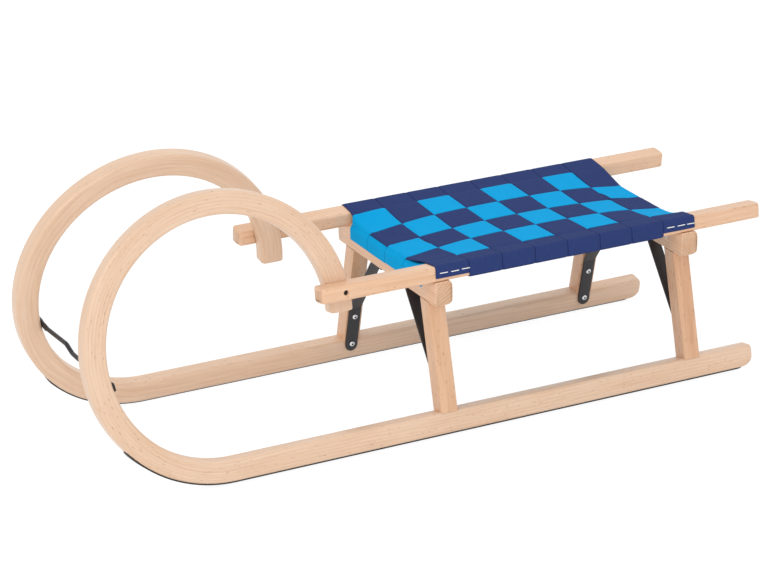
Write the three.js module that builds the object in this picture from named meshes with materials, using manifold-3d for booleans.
// Wooden horn sledge with a woven belt seat. Sizes in millimetres.
// +X runs forward to the horns, +Y to the rider's left, +Z up. The origin lies on the
// ground under the middle of the sledge's bounding box.
import * as THREE from "three";
import { mergeVertices } from "three/addons/utils/BufferGeometryUtils.js";
import Module from "manifold-3d";

const wasm = await Module();
wasm.setup();

// Fits: resting pieces stand this far apart, and cutters run this far past what they cut.
const fit_gap = 0.3;
const cut_overrun = 6;

// Runners: one bent beech stave each, leaning inwards, its horn a full three-quarter turn.
const runner_width = 24;
const runner_depth = 29;
const runner_outer_edge = 4;
const runner_inner_edge = 5;
const runner_end_edge = 2.5;
const runner_tail = 99.4;
const runner_heel_rise = 15;
const runner_heel_run = 17;
const runner_rear_corner = 4;
const runner_lean = THREE.MathUtils.degToRad(9.75);
const horn_centre_x = 312.4;
const horn_radius = 176.2;
const horn_turn = THREE.MathUtils.degToRad(270);
const horn_draw_in = 12.6;

// Steel shoes under the runners.
const shoe_width = 18;
const shoe_thickness = 2.5;
const shoe_edge = 0.4;
const shoe_setback = 21;
const shoe_front_turn = THREE.MathUtils.degToRad(51);
const shoe_tip_width = 11;
const shoe_tip_thickness = 1.2;
const shoe_tip_length = 9;

// Seat rails.
const rail_width = 25.5;
const rail_height = 18.4;
const rail_edge = 3;
const rail_top = 235.3;
const rail_outer = 140.8;
const rail_nose = 33.6;
const rail_tail = 116.4;
const rail_rebate = 2;
const rail_rebate_edge = 3;
const rail_lip = 4.5;
const horn_housing = 0.3;

// Yokes across the sledge, which carry the rails and the ends of the belts.
const yoke_thickness = 25;
const yoke_depth = 33.6;
const yoke_overhang = 3.2;
const yoke_end_crown = 3;
const yoke_top_edge = 8;
const yoke_front_foot_edge = 1.5;
const yoke_rear_foot_edge = 7;
const front_yoke_x = -2;

// Legs, tenoned into the runners and the yokes.
const leg_width = 23.8;
const leg_thickness = 24;
const leg_edge = 2;
const leg_lean = THREE.MathUtils.degToRad(13.8);
const tenon_width = 15;
const tenon_thickness = 12;
const foot_tenon_length = 14;
const head_tenon_length = 24;

// Belts of the seat: eight across the rails, four along, woven over and under.
const belt_thickness = 1.6;
const cross_belts = 8;
const cross_belt_width = 49.4;
const cross_belt_pitch = 50.6;
const long_belts = 4;
const long_belt_gap = 1.3;
const long_belt_side_gap = 9.75;
const belt_overhang = 9.5;
const middle_dip = 3.5;
const yoke_dip = 14;
const middle_dip_power = 2;
const yoke_dip_power = 8;
const long_belt_drop = 20.5;
const cross_belt_hem = 3;

// Braces of flat steel from the runners and legs up to the yokes.
const brace_width = 18.4;
const brace_thickness = 3;
const front_brace_foot = 16.6;
const rear_brace_foot = 12.9;
const brace_bend = 91;
const brace_head_y = 50;
const brace_tab = 30;
const brace_bend_radius = 7;
const brace_offset_x = 0.8;
const brace_low_screw = 12;
const brace_high_screw = 58.5;

// Cross bar between the horns, which takes the pulling line: a round steel rod with
// flattened ends.
const bar_diameter = 6;
const bar_tab_width = 13;
const bar_tab_thickness = 3;
const bar_tab_corner = 3;
const bar_tab_on_horn = 20;
const bar_tab_inside = 4;
const bar_flare = 9;
const bar_turn = THREE.MathUtils.degToRad(77.2);
const bar_rise = 5.3;
const bar_dip_start = 28.4;
const bar_dip_end = 12;
const bar_dip = 8.5;
const bar_bend_radius = 8;
const bar_round_share = 0.9;
const bar_screw_inset = 8.5;

// Screws: head and shank sizes of each kind.
const pan_screw = { head: 4.6, rise: 2.4, shank: 2, length: 19, recess: 1.7, depth: 1.5 };
const shoe_screw = { head: 3.6, rise: 1.6, shank: 1.8, length: 14, recess: 1.3, depth: 1 };
const horn_screw = { head: 3.4, rise: 2.6, shank: 2.2, length: 30, recess: 1.6, depth: 1.4 };
const yoke_screw = { head: 3, rise: 1.8, shank: 1.8, length: 17, recess: 1.3, depth: 1.1 };
const screw_sides = 8;
const horn_screw_sink = 4.6;
const yoke_screw_inset = 39;
const yoke_screw_rise = 16.8;
const yoke_screw_sink = 2.4;
const rail_screw_sink = 5;
const rail_screw_length = 24;
const shoe_screw_shares = [0.04, 0.52, 0.97];

// Colours, roughness and metalness of the real materials.
const beech = { color: 0xe8c9a6, roughness: 0.52, metalness: 0 };
const black_steel = { color: 0x2b2a2d, roughness: 0.45, metalness: 0.6 };
const zinc_steel = { color: 0xb9bcc0, roughness: 0.3, metalness: 0.9 };
const navy_belt = { color: 0x3a4378, roughness: 0.85, metalness: 0 };
const blue_belt = { color: 0x1f9fe0, roughness: 0.85, metalness: 0 };

const quarter = Math.PI / 2;
const arc_steps = 3;

// Heights and places that follow from the sizes above.
const shoe_inset = (runner_width - shoe_width) / 2;
const wood_underside = shoe_thickness + fit_gap;
const runner_top = wood_underside + runner_depth;
const horn_axis_height = wood_underside + runner_depth / 2;
const horn_centre_height = horn_axis_height + horn_radius;
const rail_underside = rail_top - rail_height;
const rail_inner = rail_outer - rail_width;
const yoke_underside = rail_underside - fit_gap - yoke_depth;
const yoke_end = rail_outer + yoke_overhang;
const belt_stand = fit_gap + belt_thickness / 2;
const weave_offset = (belt_thickness + fit_gap) / 2;
const belt_level = rail_top - rail_rebate + belt_stand;
const seat_level_at_yoke = belt_level - yoke_dip;
const yoke_top = seat_level_at_yoke - weave_offset - belt_stand;
const long_belt_pitch = (2 * (rail_inner - long_belt_side_gap) + long_belt_gap) / long_belts;
const long_belt_width = long_belt_pitch - long_belt_gap;
const seat_front_x = front_yoke_x + belt_overhang;
const seat_rear_x = seat_front_x - (cross_belts - 1) * cross_belt_pitch - cross_belt_width;
const rear_yoke_x = seat_rear_x + belt_overhang;
const seat_centre_x = (front_yoke_x + rear_yoke_x) / 2;
const seat_half = (front_yoke_x - rear_yoke_x) / 2;
const rail_rear_x = rear_yoke_x - rail_tail;
const runner_rear_x = rear_yoke_x - runner_tail;
const shoe_rear_x = runner_rear_x + shoe_setback;

// Where the horn meets the rail's middle: its height in the runner's leaning frame, how
// far round the horn that is, and the foot of the runner that brings it to the rail.
function hornDraw(turn) {
  return horn_draw_in * (turn / horn_turn) ** 3;
}
const meeting_height = (rail_top - rail_height / 2) / Math.cos(runner_lean);
const rise_at_meeting = (meeting_height - horn_centre_height) / horn_radius;
const meeting_turn = 4 * quarter - Math.acos(-rise_at_meeting);
const horn_screw_x = horn_centre_x + horn_radius * Math.sin(meeting_turn);
const rail_front_x = horn_screw_x + rail_nose;
const horn_face = runner_width - hornDraw(meeting_turn);
const lean_over = meeting_height * Math.sin(runner_lean) - horn_face * Math.cos(runner_lean);
const runner_foot_y = rail_inner + horn_housing + lean_over;
const side_sign = { left: 1, right: -1 };

const sledge = new THREE.Group();

// Geometry to manifold solid and back, for cuts and joins.
function toSolid(geometry) {
  const bare = new THREE.BufferGeometry();
  bare.setAttribute("position", geometry.getAttribute("position").clone());
  if (geometry.index) bare.setIndex(geometry.index.clone());
  const merged = mergeVertices(bare, 1e-4);
  const vertProperties = new Float32Array(merged.getAttribute("position").array);
  const triVerts = new Uint32Array(merged.index.array);
  return new wasm.Manifold(new wasm.Mesh({ numProp: 3, vertProperties, triVerts }));
}

function toGeometry(solid) {
  const mesh = solid.getMesh();
  const geometry = new THREE.BufferGeometry();
  const points = new Float32Array(mesh.numVert * 3);
  for (let i = 0; i < mesh.numVert; i++) {
    const start = i * mesh.numProp;
    points.set(mesh.vertProperties.subarray(start, start + 3), i * 3);
  }
  geometry.setAttribute("position", new THREE.BufferAttribute(points, 3));
  geometry.setIndex(new THREE.BufferAttribute(new Uint32Array(mesh.triVerts), 1));
  return geometry;
}

function subtract(geometry, cutters) {
  return toGeometry(cutters.reduce((s, c) => s.subtract(toSolid(c)), toSolid(geometry)));
}

function intersect(geometry, other) {
  return toGeometry(toSolid(geometry).intersect(toSolid(other)));
}

function join(geometry, other) {
  return toGeometry(toSolid(geometry).add(toSolid(other)));
}

// The same solid on the other side of the sledge, its faces turned to point out again.
function mirrored(geometry) {
  const copy = geometry.index ? geometry.clone() : mergeVertices(geometry);
  copy.scale(1, -1, 1);
  const index = copy.index.array;
  for (let i = 0; i < index.length; i += 3) {
    [index[i + 1], index[i + 2]] = [index[i + 2], index[i + 1]];
  }
  return copy;
}

function onSide(geometry, side) {
  return side === "left" ? geometry : mirrored(geometry);
}

function addMesh(parent, name, geometry, finish) {
  const flat = geometry.index ? geometry.toNonIndexed() : geometry;
  flat.computeVertexNormals();
  const mesh = new THREE.Mesh(flat, new THREE.MeshStandardMaterial(finish));
  mesh.name = name;
  parent.add(mesh);
  return mesh;
}

// A closed solid through rings of points. cap lists the triangles of the first end, and
// crossed tells which faces between two rings are split along their other diagonal.
function skin(rings, cap, crossed = () => false) {
  const count = rings[0].length;
  const points = rings.flat().flatMap((p) => [p.x, p.y, p.z]);
  const faces = [];
  for (let i = 0; i + 1 < rings.length; i++) {
    for (let j = 0; j < count; j++) {
      const a = i * count + j;
      const b = i * count + ((j + 1) % count);
      if (crossed(j)) faces.push([a, b, a + count], [b, b + count, a + count]);
      else faces.push([a, b, b + count], [a, b + count, a + count]);
    }
  }
  const last = (rings.length - 1) * count;
  faces.push(...cap, ...cap.map(([p, q, r]) => [last + p, last + r, last + q]));
  const geometry = new THREE.BufferGeometry();
  geometry.setAttribute("position", new THREE.Float32BufferAttribute(points, 3));
  geometry.setIndex(faces.flat());
  if (toSolid(geometry).volume() > 0) return geometry;
  geometry.setIndex(faces.flatMap(([p, q, r]) => [p, r, q]));
  return geometry;
}

function loft(rings) {
  const cap = [];
  for (let j = 1; j + 1 < rings[0].length; j++) cap.push([0, j + 1, j]);
  return skin(rings, cap);
}

// Corner points of a rectangle with its own radius at each corner: low-low, high-low,
// high-high, low-high in the two directions u and v.
function roundedSection(uLow, uHigh, vLow, vHigh, radii, steps = arc_steps) {
  const corners = [
    [uLow, vLow, 2],
    [uHigh, vLow, 3],
    [uHigh, vHigh, 0],
    [uLow, vHigh, 1],
  ];
  return corners.flatMap(([u, v, turn], i) => {
    const r = radii[i];
    const cu = u === uLow ? u + r : u - r;
    const cv = v === vLow ? v + r : v - r;
    return Array.from({ length: steps + 1 }, (_, k) => {
      const angle = quarter * (turn + k / steps);
      return [cu + r * Math.cos(angle), cv + r * Math.sin(angle)];
    });
  });
}

// A straight bar along z between two heights, with rounded long edges and ends.
function bar(width, thickness, low, high, edge, endEdge) {
  const inset = (e) => {
    const r = Math.max(edge - e, edge / 10);
    const u = width / 2 - e;
    const v = thickness / 2 - e;
    return roundedSection(-u, u, -v, v, [r, r, r, r], 2);
  };
  const ring = (e, z) => inset(e).map(([x, y]) => new THREE.Vector3(x, y, z));
  const soft = endEdge * (1 - Math.SQRT1_2);
  return loft([
    ring(endEdge, low),
    ring(soft, low + soft),
    ring(0, low + endEdge),
    ring(0, high - endEdge),
    ring(soft, high - soft),
    ring(endEdge, high),
  ]);
}

function box(x0, x1, y0, y1, z0, z1) {
  const geometry = new THREE.BoxGeometry(x1 - x0, y1 - y0, z1 - z0);
  return geometry.translate((x0 + x1) / 2, (y0 + y1) / 2, (z0 + z1) / 2);
}

// A flat outline of [u, v] points, extruded by a depth that is centred on zero.
function plate(outline, depth) {
  const shape = new THREE.Shape(outline.map(([u, v]) => new THREE.Vector2(u, v)));
  const geometry = new THREE.ExtrudeGeometry(shape, { depth, bevelEnabled: false });
  return geometry.translate(0, 0, -depth / 2);
}

// A path of [u, v] points whose inner corners are replaced by arcs of one radius.
function roundedPath(points, radius, steps = arc_steps) {
  const at = points.map(([u, v]) => new THREE.Vector2(u, v));
  const path = [at[0]];
  for (let i = 1; i + 1 < at.length; i++) {
    const back = at[i - 1].clone().sub(at[i]).normalize();
    const on = at[i + 1].clone().sub(at[i]).normalize();
    const half = Math.acos(back.dot(on)) / 2;
    const reach = radius / Math.tan(half);
    const bisector = back.clone().add(on).normalize();
    const centre = at[i].clone().addScaledVector(bisector, radius / Math.sin(half));
    const start = at[i].clone().addScaledVector(back, reach).sub(centre);
    const end = at[i].clone().addScaledVector(on, reach).sub(centre);
    const sweep = Math.atan2(start.cross(end), start.dot(end));
    for (let k = 0; k <= steps; k++) {
      const turned = start.clone().rotateAround(new THREE.Vector2(), (sweep * k) / steps);
      path.push(turned.add(centre));
    }
  }
  path.push(at[at.length - 1]);
  return path;
}

// The way square to a path at each of its points.
function pathNormals(path) {
  return path.map((p, i) => {
    const a = path[Math.max(i - 1, 0)];
    const b = path[Math.min(i + 1, path.length - 1)];
    const along = b.clone().sub(a).normalize();
    return new THREE.Vector2(-along.y, along.x);
  });
}

// The outline of a strip of one thickness whose middle follows a path.
function stripOutline(path, thickness) {
  const normals = pathNormals(path);
  const side = (s) => path.map((p, i) => p.clone().addScaledVector(normals[i], s));
  const outline = [...side(thickness / 2), ...side(-thickness / 2).reverse()];
  return outline.map((p) => [p.x, p.y]);
}

// The leaning frame of one side: y outwards across the runner, z up its inner face.
const lean_drop = shoe_inset * Math.sin(runner_lean);
function leaningGroup(side) {
  const group = new THREE.Group();
  const sign = side_sign[side];
  group.position.set(0, sign * runner_foot_y, -lean_drop);
  group.rotation.x = sign * runner_lean;
  group.updateMatrix();
  sledge.add(group);
  return group;
}
const leaning = { left: leaningGroup("left"), right: leaningGroup("right") };

// A point of the left leaning frame in the sledge's own frame.
function leanPoint(x, y, z) {
  return new THREE.Vector3(x, y, z).applyMatrix4(leaning.left.matrix);
}

function toLeaning(geometry) {
  return geometry.clone().applyMatrix4(leaning.left.matrix.clone().invert());
}

function fromLeaning(geometry) {
  return geometry.clone().applyMatrix4(leaning.left.matrix);
}

// Screws: a head with a round recess on a pointed shank. The axis is y, and the
// underside of the head lies at zero.
function screwGeometry(kind) {
  const point = kind.shank;
  const profile = [
    [0, -kind.length],
    [kind.shank, point - kind.length],
    [kind.shank, 0],
    [kind.head, 0],
    [kind.head, kind.rise / 3],
    [kind.head * Math.SQRT1_2, kind.rise],
    [kind.recess, kind.rise],
    [kind.recess, kind.rise - kind.depth],
    [0, kind.rise - kind.depth],
  ];
  const points = profile.map(([r, y]) => new THREE.Vector2(r, y));
  return new THREE.LatheGeometry(points, screw_sides);
}

// The hole for a screw: its shank and, from a height up, its head, each with clearance.
function screwHole(kind, headFrom, headTo) {
  const r = kind.shank + fit_gap;
  const shank = new THREE.CylinderGeometry(r, r, kind.length + cut_overrun, screw_sides);
  shank.translate(0, (cut_overrun - kind.length) / 2 - fit_gap, 0);
  if (headTo <= headFrom) return shank;
  const wide = kind.head + fit_gap;
  const head = new THREE.CylinderGeometry(wide, wide, headTo - headFrom, screw_sides);
  head.translate(0, (headFrom + headTo) / 2, 0);
  return join(shank, head);
}

function turnedTo(object, position, direction) {
  const up = new THREE.Vector3(0, 1, 0);
  object.quaternion.setFromUnitVectors(up, direction.clone().normalize());
  object.position.copy(position);
  object.updateMatrix();
  return object;
}

// A hole in the place of a screw.
function holeAt(kind, position, direction, headFrom = 0, headTo = 0) {
  const place = turnedTo(new THREE.Object3D(), position, direction);
  return screwHole(kind, headFrom, headTo).applyMatrix4(place.matrix);
}

function addScrew(name, kind, position, direction, finish) {
  const mesh = addMesh(sledge, name, screwGeometry(kind), finish);
  return turnedTo(mesh, position, direction);
}

function flippedY(v) {
  return new THREE.Vector3(v.x, -v.y, v.z);
}

function boundsOf(geometry) {
  return new THREE.Box3().setFromBufferAttribute(geometry.getAttribute("position"));
}

// Places of the screws on the left side, each with the way that its head faces.
const leanDown = leanPoint(0, 0, -1).sub(leanPoint(0, 0, 0));
const brace_face = -fit_gap - brace_thickness - fit_gap;

const leg_rows = {
  front: { x: front_yoke_x, foot: front_brace_foot },
  rear: { x: rear_yoke_x, foot: rear_brace_foot },
};
for (const row of Object.values(leg_rows)) row.brace_x = row.x + brace_offset_x;

// The legs lean further inwards than the runners, by this slope from the runner's top up.
const leg_slope = Math.tan(leg_lean - runner_lean);
function legPoint(x, out, up) {
  return leanPoint(x, out - leg_slope * Math.max(up - runner_top, 0), up);
}

// A brace's screw, at a height above the foot of the brace, square to the face behind it.
function braceScrewPlace(row, height) {
  const up = row.foot + height;
  const slope = up > runner_top ? leg_slope : 0;
  const to = leanPoint(0, -1, -slope).sub(leanPoint(0, 0, 0));
  return { at: legPoint(row.brace_x, brace_face, up), to };
}

const horn_screw_place = {
  at: new THREE.Vector3(horn_screw_x, rail_outer - horn_screw_sink, rail_top - rail_height / 2),
  to: new THREE.Vector3(0, 1, 0),
};

function railScrewPlace(row) {
  return {
    at: new THREE.Vector3(row.x, (rail_inner + rail_outer) / 2, rail_top - rail_screw_sink),
    to: new THREE.Vector3(0, 0, 1),
  };
}
const rail_screw = { ...pan_screw, head: pan_screw.head * 0.8, length: rail_screw_length };

function yokeScrewPlace(row) {
  const face = row.x + yoke_thickness / 2 - yoke_screw_sink;
  return {
    at: new THREE.Vector3(face, yoke_end - yoke_screw_inset, yoke_underside + yoke_screw_rise),
    to: new THREE.Vector3(1, 0, 0),
  };
}

function braceTopScrewPlace(row) {
  const under = yoke_underside - fit_gap - brace_thickness - fit_gap;
  return {
    at: new THREE.Vector3(row.brace_x, brace_head_y - brace_tab / 2, under),
    to: new THREE.Vector3(0, 0, -1),
  };
}

// Runner: the section rides along the straight sole and then round the horn.
// turn is the angle travelled round the horn, zero on the sole.
function runnerStation(x, turn, section) {
  const draw = hornDraw(turn);
  return section.map(([y, out]) => {
    const r = horn_radius + out;
    return new THREE.Vector3(
      x + r * Math.sin(turn),
      y - draw,
      horn_centre_height - r * Math.cos(turn),
    );
  });
}

// The section's second coordinate points away from the middle of the horn: down, on the sole.
function runnerSection(e) {
  const half = runner_depth / 2 - e;
  const outer = Math.max(runner_outer_edge - e, runner_outer_edge / 10);
  const inner = Math.max(runner_inner_edge - e, runner_inner_edge / 10);
  return roundedSection(e, runner_width - e, -half, half, [inner, inner, outer, outer]);
}

function runnerBlank() {
  const rings = [];
  const heel = runner_rear_x - cut_overrun;
  rings.push(runnerStation(heel, 0, runnerSection(0)));
  const steps = 48;
  for (let k = 0; k <= steps; k++) {
    const turn = (horn_turn * k) / steps;
    const last = k === steps;
    if (!last) rings.push(runnerStation(horn_centre_x, turn, runnerSection(0)));
  }
  const round = runner_end_edge / horn_radius;
  for (const share of [1, 1 - Math.SQRT1_2, 0]) {
    const e = runner_end_edge * (1 - Math.sqrt(1 - (1 - share) ** 2));
    const turn = horn_turn - round * share;
    rings.push(runnerStation(horn_centre_x, turn, runnerSection(e)));
  }
  return loft(rings);
}

// Side outline of the runner's rear end: a swept-up heel and a small top corner.
function heelOutline() {
  const sole = wood_underside - cut_overrun;
  const far = horn_centre_x + horn_radius + runner_depth;
  const high = horn_centre_height + horn_radius + runner_depth;
  const heel = new THREE.EllipseCurve(
    runner_rear_x + runner_heel_run,
    wood_underside + runner_heel_rise,
    runner_heel_run,
    runner_heel_rise,
    2 * quarter,
    3 * quarter,
  );
  const corner = new THREE.EllipseCurve(
    runner_rear_x + runner_rear_corner,
    runner_top - runner_rear_corner,
    runner_rear_corner,
    runner_rear_corner,
    quarter,
    2 * quarter,
  );
  const turned = (curve, steps) => curve.getPoints(steps).map((p) => [p.x, p.y]);
  const after = runner_rear_x + 2 * runner_heel_run;
  return [
    ...turned(corner, arc_steps),
    ...turned(heel, 2 * arc_steps),
    [after, wood_underside],
    [after + cut_overrun, sole],
    [far, sole],
    [far, high],
    [after, high],
    [after, runner_top + cut_overrun],
    [after - cut_overrun, runner_top],
  ];
}

// The tenon of a leg, in the leaning frame, grown by a clearance for its mortise.
function tenon(row, low, high, grow) {
  const blank = bar(
    tenon_width + 2 * grow,
    tenon_thickness + 2 * grow,
    low - grow,
    high + grow,
    leg_edge,
    leg_edge / 2,
  );
  return tilted(blank, row);
}

const leg_length = yoke_underside / Math.cos(runner_lean) - runner_top;
function tilted(blank, row) {
  const shear = new THREE.Matrix4().makeShear(0, 0, 0, 0, 0, -leg_slope);
  blank.translate(0, 0, -runner_top).applyMatrix4(shear);
  return blank.translate(row.x, leg_thickness / 2, runner_top);
}

const head_top = runner_top + leg_length + head_tenon_length;
function headTenon(row, grow) {
  return tenon(row, runner_top + leg_length / 2, head_top, grow);
}

function footTenon(row, grow) {
  return tenon(row, runner_top - foot_tenon_length, runner_top + leg_length / 3, grow);
}

// Shoe screws along the sole, as shares of the straight sole.
const sole_length = horn_centre_x - shoe_rear_x;
const shoe_screw_places = shoe_screw_shares.map((share) => ({
  at: leanPoint(shoe_rear_x + sole_length * share, runner_width / 2, shoe_screw.rise + fit_gap),
  to: leanDown,
}));

// The cross bar's place on the horns: flat on their inner face, level between them.
const bar_stand = horn_radius - runner_depth / 2 - fit_gap - bar_tab_thickness / 2;
function barPlace(out, y) {
  const r = bar_stand + out;
  const up = horn_centre_height - r * Math.cos(bar_turn);
  return leanPoint(horn_centre_x + r * Math.sin(bar_turn), y, up);
}
const bar_elbow = barPlace(0, -bar_tab_inside);
const bar_face = -bar_tab_thickness / 2 - fit_gap;
const bar_screw_y = bar_tab_on_horn - bar_screw_inset;
const bar_screw_place = {
  at: barPlace(bar_face, bar_screw_y),
  to: barPlace(bar_face - 1, bar_screw_y).sub(barPlace(bar_face, bar_screw_y)),
};

function makeRunners() {
  const places = [
    ...Object.values(leg_rows).map((row) => braceScrewPlace(row, brace_low_screw)),
  ];
  const cutters = Object.values(leg_rows).map((row) => footTenon(row, fit_gap));
  for (const { at, to } of places) cutters.push(toLeaning(holeAt(pan_screw, at, to)));
  for (const { at, to } of shoe_screw_places) {
    cutters.push(toLeaning(holeAt(shoe_screw, at, to)));
  }
  cutters.push(toLeaning(holeAt(pan_screw, bar_screw_place.at, bar_screw_place.to)));
  const { at, to } = horn_screw_place;
  cutters.push(toLeaning(holeAt(horn_screw, at, to)));
  const side_cut = plate(heelOutline(), 4 * runner_width);
  side_cut.rotateX(quarter);
  const blank = runnerBlank();
  const left = subtract(intersect(blank, side_cut), cutters);
  for (const side of ["left", "right"]) {
    addMesh(leaning[side], "runner_" + side, onSide(left.clone(), side), beech);
  }
}

function makeShoes() {
  const top = -horn_axis_height + wood_underside;
  const section = (width, thickness) => {
    const e = shoe_edge;
    const low = (runner_width - width) / 2;
    const near = -top + fit_gap;
    return roundedSection(low, low + width, near, near + thickness, [e, e, e, e], 1);
  };
  const whole = section(shoe_width, shoe_thickness);
  const tip = section(shoe_tip_width, shoe_tip_thickness);
  const rings = [runnerStation(shoe_rear_x, 0, tip)];
  rings.push(runnerStation(shoe_rear_x + shoe_tip_length, 0, whole));
  const steps = 12;
  for (let k = 0; k <= steps; k++) {
    const turn = (shoe_front_turn * k) / steps;
    rings.push(runnerStation(horn_centre_x, turn, whole));
  }
  const tip_turn = shoe_front_turn + shoe_tip_length / horn_radius;
  rings.push(runnerStation(horn_centre_x, tip_turn, tip));
  const holes = shoe_screw_places.map(({ at, to }) =>
    toLeaning(holeAt(shoe_screw, at, to, -fit_gap, shoe_thickness)),
  );
  const left = subtract(loft(rings), holes);
  for (const side of ["left", "right"]) {
    addMesh(leaning[side], "runner_shoe_" + side, onSide(left.clone(), side), black_steel);
  }
}

// The full rail, a bar with rounded edges and ends.
function railBlank() {
  const length = rail_front_x - rail_rear_x;
  const blank = bar(rail_height, rail_width, 0, length, rail_edge, rail_edge);
  blank.rotateY(quarter);
  return blank.translate(rail_rear_x, (rail_inner + rail_outer) / 2, rail_top - rail_height / 2);
}

// What is cut away between two places for the belts. The first and last belt end on
// the rail's side above a lip, and the others go right round it.
function rebate(front, rear, lip) {
  const top = rail_top - rail_rebate;
  const foot = rail_underside + rail_rebate - (lip > 0 ? 2 * rail_rebate : 0);
  const r = rail_rebate_edge;
  const edge = lip > 0 ? fit_gap : rail_edge;
  const section = roundedSection(-top, -foot, rail_inner, rail_outer - rail_rebate, [
    r,
    edge,
    edge,
    r,
  ]);
  const core = plate(section, 2 * (front - rear)).rotateY(quarter);
  const low = lip > 0 ? rail_underside + lip : rail_underside - cut_overrun;
  const high = rail_top + cut_overrun;
  const zone = box(rear, front, rail_inner - cut_overrun, rail_outer + cut_overrun, low, high);
  return subtract(zone, [core.translate((front + rear) / 2, 0, 0)]);
}

// The shallow housing in the rail's inner face for the horn, cut flat along its lean.
function hornNotch() {
  const heightOf = (z) => toLeaning(box(0, fit_gap, rail_inner, rail_outer, z, z + fit_gap));
  const low = boundsOf(heightOf(rail_underside)).min.z;
  const high = boundsOf(heightOf(rail_top)).max.z;
  const turnAt = (z, r) => 4 * quarter - Math.acos((horn_centre_height - z) / r);
  const outer = horn_radius + runner_depth / 2;
  const inner = horn_radius - runner_depth / 2;
  const rear = horn_centre_x + outer * Math.sin(turnAt(low, outer)) - fit_gap;
  const front = horn_centre_x + inner * Math.sin(turnAt(high, inner)) + fit_gap;
  const face = runner_width - hornDraw(turnAt(high, horn_radius)) + fit_gap;
  const far = -runner_width;
  return fromLeaning(box(rear, front, far, face, low - cut_overrun, high + cut_overrun));
}

function makeRails() {
  const first = seat_front_x + fit_gap;
  const last = seat_rear_x - fit_gap;
  const gap = cross_belt_pitch - cross_belt_width;
  const second = seat_front_x - cross_belt_width - gap / 2;
  const seventh = seat_rear_x + cross_belt_width + gap / 2;
  const cutters = [
    hornNotch(),
    rebate(first, second, rail_lip),
    rebate(second, seventh, 0),
    rebate(seventh, last, rail_lip),
  ];
  const { at: place, to } = horn_screw_place;
  cutters.push(holeAt(horn_screw, place, to, -fit_gap, horn_screw_sink + cut_overrun));
  for (const row of Object.values(leg_rows)) {
    const screw = railScrewPlace(row);
    cutters.push(holeAt(rail_screw, screw.at, screw.to, -fit_gap, rail_screw_sink));
  }
  const left = subtract(railBlank(), cutters);
  for (const side of ["left", "right"]) {
    addMesh(sledge, "rail_" + side, onSide(left.clone(), side), beech);
  }
}

// End view of a yoke, from its foot to the seats of the rails and the crown between.
function yokeOutline() {
  const seat = rail_underside - fit_gap;
  const step = rail_inner - fit_gap;
  const middle = (yoke_underside + seat) / 2;
  const half = [
    [yoke_end, yoke_underside],
    [yoke_end + yoke_end_crown * 0.75, (yoke_underside + middle) / 2],
    [yoke_end + yoke_end_crown, middle],
    [yoke_end + yoke_end_crown * 0.75, (seat + middle) / 2],
    [yoke_end, seat],
    [step, seat],
    [step, yoke_top],
  ];
  const other = half.map(([y, z]) => [-y, z]).reverse();
  return [...half, ...other];
}

function makeYoke(name, row) {
  const half = yoke_thickness / 2;
  const section = roundedSection(
    -half,
    half,
    yoke_underside,
    yoke_top,
    [yoke_rear_foot_edge, yoke_front_foot_edge, yoke_top_edge, yoke_top_edge],
    4,
  );
  const beam = plate(section, 4 * yoke_end).rotateX(quarter).translate(row.x, 0, 0);
  const face = plate(yokeOutline(), 2 * yoke_thickness);
  face.rotateX(quarter).rotateZ(quarter).translate(row.x, 0, 0);
  const screws = [
    [yoke_screw, yokeScrewPlace(row), -fit_gap, yoke_screw_sink + cut_overrun],
    [rail_screw, railScrewPlace(row), 0, 0],
    [pan_screw, braceTopScrewPlace(row), 0, 0],
  ];
  const cutters = screws.map(([kind, place, from, to]) =>
    holeAt(kind, place.at, place.to, from, to),
  );
  cutters.push(fromLeaning(headTenon(row, fit_gap)));
  const both = cutters.flatMap((cutter) => [cutter, mirrored(cutter)]);
  addMesh(sledge, name, subtract(intersect(beam, face), both), beech);
}

// Legs: square stock between the runner and the yoke, with a tenon at each end.
function makeLegs() {
  const above = toLeaning(
    box(
      rear_yoke_x - seat_half,
      front_yoke_x + seat_half,
      0,
      4 * runner_foot_y,
      yoke_underside - fit_gap,
      2 * rail_top,
    ),
  );
  for (const [end, row] of Object.entries(leg_rows)) {
    const high = runner_top + leg_length + leg_thickness;
    const low = runner_top + fit_gap;
    const blank = bar(leg_width, leg_thickness, low, high, leg_edge, leg_edge / 20);
    const body = subtract(tilted(blank, row), [above]);
    const screws = [
      [pan_screw, braceScrewPlace(row, brace_high_screw)],
      [pan_screw, braceScrewPlace(row, brace_low_screw)],
      [yoke_screw, yokeScrewPlace(row)],
    ];
    const holes = screws.map(([kind, { at, to }]) => toLeaning(holeAt(kind, at, to)));
    const whole = join(join(body, headTenon(row, 0)), footTenon(row, 0));
    const left = subtract(whole, holes);
    for (const side of ["left", "right"]) {
      const name = "leg_" + end + "_" + side;
      addMesh(leaning[side], name, onSide(left.clone(), side), beech);
    }
  }
}

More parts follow.
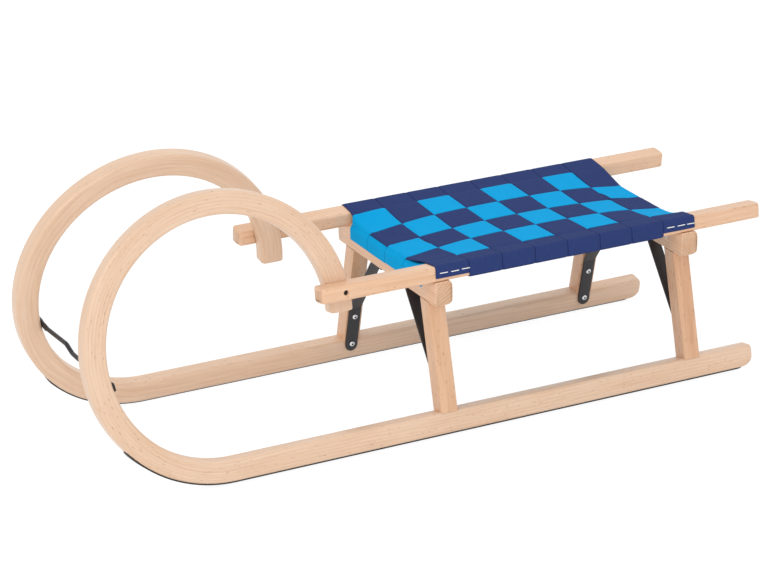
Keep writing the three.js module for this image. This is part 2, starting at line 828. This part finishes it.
// Braces: flat steel up the runner and leg, bent in under the yoke.
function makeBraces() {
  const face = -fit_gap - brace_thickness / 2;
  const under = yoke_underside - fit_gap - brace_thickness / 2;
  for (const [end, row] of Object.entries(leg_rows)) {
    const heights = [row.foot, runner_top, brace_bend];
    const [foot, knee, bend] = heights.map((up) => legPoint(0, face, up));
    const above_knee = [
      [knee.y, knee.z],
      [bend.y, bend.z],
      [brace_head_y, under],
      [brace_head_y - brace_tab, under],
    ];
    const path = roundedPath(above_knee, brace_bend_radius);
    path.unshift(new THREE.Vector2(foot.y, foot.z));
    const strip = plate(stripOutline(path, brace_thickness), brace_width);
    strip.rotateX(quarter).rotateZ(quarter).translate(row.brace_x, 0, 0);
    const r = brace_width / 2;
    const foot_round = new THREE.Shape();
    foot_round.absarc(0, row.foot + r, r, 2 * quarter, 4 * quarter);
    foot_round.lineTo(r, 2 * rail_top);
    foot_round.lineTo(-r, 2 * rail_top);
    const outline = foot_round.getPoints(2 * arc_steps).map((p) => [p.x, p.y]);
    const upright = plate(outline, 4 * runner_foot_y).rotateX(quarter);
    upright.translate(row.brace_x, 0, 0);
    const rounded = intersect(strip, fromLeaning(upright));
    const places = [
      braceScrewPlace(row, brace_low_screw),
      braceScrewPlace(row, brace_high_screw),
      braceTopScrewPlace(row),
    ];
    const holes = places.map(({ at, to }) => holeAt(pan_screw, at, to));
    const left = subtract(rounded, holes);
    for (const side of ["left", "right"]) {
      addMesh(sledge, "brace_" + end + "_" + side, onSide(left.clone(), side), black_steel);
    }
  }
}

// The cross bar's half width in its own plane and half thickness, at a distance y from the
// middle: a round rod, and beyond the elbow a flat tab with rounded corners.
const bar_end = bar_elbow.y + bar_tab_inside + bar_tab_on_horn;
function barHalves(y) {
  if (y < bar_elbow.y) return [bar_diameter / 2, bar_diameter / 2];
  const past = Math.max(y - bar_end + bar_tab_corner, 0);
  const inset = bar_tab_corner - Math.sqrt(bar_tab_corner ** 2 - past ** 2);
  return [bar_tab_width / 2 - inset, bar_tab_thickness / 2];
}

// Cross bar: the rod rises a little between the horns and dips in the middle. Its flat
// ends turn up with the lean of the horns.
function makeCrossBar() {
  const half = [
    [bar_end, 0],
    [bar_elbow.y - bar_flare, 0],
    [bar_dip_start, bar_rise],
    [bar_dip_end, bar_rise - bar_dip],
  ];
  const other = half.map(([y, rise]) => [-y, rise]).reverse();
  const bends = roundedPath([...half, ...other], bar_bend_radius).slice(1, -1);
  const corner = bar_end - bar_tab_corner;
  const tab = [bar_end, (bar_end + corner) / 2, corner, bar_elbow.y];
  const path = [
    ...tab.map((y) => new THREE.Vector2(y, 0)),
    ...bends,
    ...tab.map((y) => new THREE.Vector2(-y, 0)).reverse(),
  ];
  const normals = pathNormals(path);
  const rings = path.map((p, i) => {
    const [wide, thick] = barHalves(Math.abs(p.x));
    const r = Math.min(wide, thick) * bar_round_share;
    return roundedSection(-wide, wide, -thick, thick, [r, r, r, r], 2).map(([u, out]) => {
      const y = p.x + normals[i].x * u;
      const rise = p.y + normals[i].y * u;
      const beyond = Math.max(Math.abs(y) - bar_elbow.y, 0);
      const level = Math.sign(y) * (Math.abs(y) - beyond * (1 - Math.cos(runner_lean)));
      return new THREE.Vector3(
        bar_elbow.x + rise * Math.cos(bar_turn) + out * Math.sin(bar_turn),
        level,
        bar_elbow.z +
          rise * Math.sin(bar_turn) -
          out * Math.cos(bar_turn) +
          beyond * Math.sin(runner_lean),
      );
    });
  });
  const hole = holeAt(pan_screw, bar_screw_place.at, bar_screw_place.to);
  addMesh(sledge, "horn_cross_bar", subtract(loft(rings), [hole, mirrored(hole)]), black_steel);
}

// The woven seat. Between the over and under layers lies a middle surface, level with
// the belts on the rails and drawn down towards the yokes.
const crown_reach = yoke_thickness / 2 - yoke_top_edge;
const crown_radius = yoke_top_edge + belt_stand + weave_offset;

function seatHeight(x, y) {
  const along = Math.min(Math.abs(x - seat_centre_x) / seat_half, 1);
  const dip = middle_dip + (yoke_dip - middle_dip) * along ** 2;
  const power = middle_dip_power + (yoke_dip_power - middle_dip_power) * along ** 2;
  const across = Math.min(Math.abs(y) / rail_inner, 1);
  const beyond = Math.abs(x - seat_centre_x) - seat_half - crown_reach;
  const over = Math.max(beyond, 0);
  const round = crown_radius - Math.sqrt(crown_radius ** 2 - over ** 2);
  return belt_level - dip * (1 - across ** power) - round * (1 - across ** power);
}

// Edges and middle of a belt, and of the crown beyond the last straight part.
function crossBeltPlaces(k) {
  const front = seat_front_x - k * cross_belt_pitch;
  const rear = front - cross_belt_width;
  const places = [front, (front + rear) / 2, rear];
  const front_crown = front_yoke_x + crown_reach;
  const rear_crown = rear_yoke_x - crown_reach;
  if (k === 0) places.splice(1, 0, (front + front_crown) / 2, front_crown);
  if (k === cross_belts - 1) places.splice(2, 0, rear_crown, (rear + rear_crown) / 2);
  return places;
}

function longBeltPlaces(j) {
  const middle = (j - (long_belts - 1) / 2) * long_belt_pitch;
  return [middle - long_belt_width / 2, middle, middle + long_belt_width / 2];
}

// Whether the long belt j lies over the cross belt k: a plain weave.
const longLiesOver = (j, k) => (j + k) % 2 === 0;

// A belt of one thickness. Each station holds the points across the belt on its middle
// surface, and the way that its upper side faces there. Both sides are split along the
// same diagonals, so that belts on one surface keep their distance.
function belt(stations) {
  const half = belt_thickness / 2;
  const rings = stations.map(({ points, up }) => {
    const upper = points.map((p) => p.clone().addScaledVector(up, half));
    const lower = points.map((p) => p.clone().addScaledVector(up, -half));
    return [...upper, ...lower.reverse()];
  });
  const across = stations[0].points.length;
  const cap = [];
  for (let j = 0; j + 1 < across; j++) {
    const k = 2 * across - 1 - j;
    cap.push([j, k, k - 1], [j, k - 1, j + 1]);
  }
  return skin(rings, cap, (j) => j >= across);
}

// The wrap of a cross belt round the left rail, from the seat outwards and down.
function railWrap(k, xs) {
  const edge_belt = k === 0 || k === cross_belts - 1;
  const r = rail_rebate_edge + belt_stand;
  const side = rail_outer - rail_rebate - rail_rebate_edge;
  const top = rail_top - rail_rebate - rail_rebate_edge;
  const foot = rail_underside + rail_rebate + rail_edge;
  const foot_r = rail_edge + belt_stand;
  const foot_side = rail_outer - rail_rebate - rail_edge;
  const stations = [];
  const add = (y, z, angle) => {
    const up = new THREE.Vector3(0, Math.sin(angle), Math.cos(angle));
    stations.push({ points: xs.map((x) => new THREE.Vector3(x, y, z)), up });
  };
  const middle = (rail_inner + longBeltPlaces(long_belts - 1)[2]) / 2;
  const slope = xs.map((x) => new THREE.Vector3(x, middle, seatHeight(x, middle)));
  stations.push({ points: slope, up: new THREE.Vector3(0, 0, 1) });
  add(rail_inner, belt_level, 0);
  for (let i = 0; i <= arc_steps; i++) {
    const angle = (quarter * i) / arc_steps;
    add(side + r * Math.sin(angle), top + r * Math.cos(angle), angle);
  }
  if (edge_belt) {
    add(side + r, rail_underside + rail_lip + fit_gap, quarter);
    return stations;
  }
  for (let i = 0; i <= arc_steps; i++) {
    const angle = quarter * (1 + i / arc_steps);
    add(foot_side + foot_r * Math.sin(angle), foot + foot_r * Math.cos(angle), angle);
  }
  add(rail_inner + cross_belt_hem, foot - foot_r, 2 * quarter);
  return stations;
}

function makeCrossBelts() {
  for (let k = 0; k < cross_belts; k++) {
    const xs = crossBeltPlaces(k);
    const wrap = railWrap(k, xs);
    const stations = wrap
      .map(({ points, up }) => ({
        points: points.map((p) => flippedY(p)),
        up: flippedY(up),
      }))
      .reverse();
    for (let j = 0; j < long_belts; j++) {
      const offset = longLiesOver(j, k) ? -weave_offset : weave_offset;
      for (const y of longBeltPlaces(j)) {
        const points = xs.map((x) => new THREE.Vector3(x, y, seatHeight(x, y) + offset));
        stations.push({ points, up: new THREE.Vector3(0, 0, 1) });
      }
    }
    stations.push(...wrap);
    addMesh(sledge, "cross_belt_" + (k + 1), belt(stations), navy_belt);
  }
}

// The end of a long belt over a yoke's crown and down its face. way is +1 at the front.
function yokeWrap(ys, way) {
  const yoke_x = way > 0 ? front_yoke_x : rear_yoke_x;
  const r = yoke_top_edge + belt_stand;
  const centre_x = yoke_x + way * crown_reach;
  const centre_z = yoke_top - yoke_top_edge;
  const edge = way > 0 ? seat_front_x : seat_rear_x;
  const clear = Math.abs(edge - centre_x) + 2 * fit_gap;
  const start = Math.asin(Math.min(clear / r, 0.9));
  const stations = [];
  const add = (x, z, angle) => {
    const up = new THREE.Vector3(way * Math.sin(angle), 0, Math.cos(angle));
    stations.push({ points: ys.map((y) => new THREE.Vector3(x, y, z)), up });
  };
  for (let i = 0; i <= arc_steps; i++) {
    const angle = start + ((quarter - start) * i) / arc_steps;
    add(centre_x + way * r * Math.sin(angle), centre_z + r * Math.cos(angle), angle);
  }
  add(centre_x + way * r, yoke_top - long_belt_drop, quarter);
  return stations;
}

function makeLongBelts() {
  for (let j = 0; j < long_belts; j++) {
    const ys = longBeltPlaces(j);
    const stations = yokeWrap(ys, 1).reverse();
    for (let k = 0; k < cross_belts; k++) {
      const offset = longLiesOver(j, k) ? weave_offset : -weave_offset;
      for (const x of crossBeltPlaces(k)) {
        const points = ys.map((y) => new THREE.Vector3(x, y, seatHeight(x, y) + offset));
        stations.push({ points, up: new THREE.Vector3(0, 0, 1) });
      }
    }
    stations.push(...yokeWrap(ys, -1));
    addMesh(sledge, "long_belt_" + (j + 1), belt(stations), blue_belt);
  }
}

// Every screw, on the left side and mirrored to the right.
function makeScrews() {
  const pairs = [
    ["horn_screw", horn_screw, horn_screw_place, black_steel],
    ["bar_screw", pan_screw, bar_screw_place, zinc_steel],
  ];
  for (const [end, row] of Object.entries(leg_rows)) {
    const runner_screw = braceScrewPlace(row, brace_low_screw);
    const leg_screw = braceScrewPlace(row, brace_high_screw);
    pairs.push(["brace_runner_screw_" + end, pan_screw, runner_screw, zinc_steel]);
    pairs.push(["brace_leg_screw_" + end, pan_screw, leg_screw, zinc_steel]);
    pairs.push(["brace_yoke_screw_" + end, pan_screw, braceTopScrewPlace(row), zinc_steel]);
    pairs.push(["rail_screw_" + end, rail_screw, railScrewPlace(row), zinc_steel]);
    pairs.push(["tenon_screw_" + end, yoke_screw, yokeScrewPlace(row), zinc_steel]);
  }
  shoe_screw_places.forEach((place, i) => {
    pairs.push(["shoe_screw_" + (i + 1), shoe_screw, place, zinc_steel]);
  });
  for (const [name, kind, { at, to }, finish] of pairs) {
    addScrew(name + "_left", kind, at, to, finish);
    addScrew(name + "_right", kind, flippedY(at), flippedY(to), finish);
  }
}

makeRunners();
makeShoes();
makeRails();
makeYoke("front_yoke", leg_rows.front);
makeYoke("rear_yoke", leg_rows.rear);
makeLegs();
makeBraces();
makeCrossBar();
makeCrossBelts();
makeLongBelts();
makeScrews();

// Stand the sledge on the ground with the middle of its bounding box over the origin.
sledge.updateMatrixWorld(true);
const bounds = new THREE.Box3().setFromObject(sledge, true);
sledge.position.x = -(bounds.min.x + bounds.max.x) / 2;
sledge.position.z = -bounds.min.z;

const part = new THREE.Group();
part.add(sledge);
export default part;
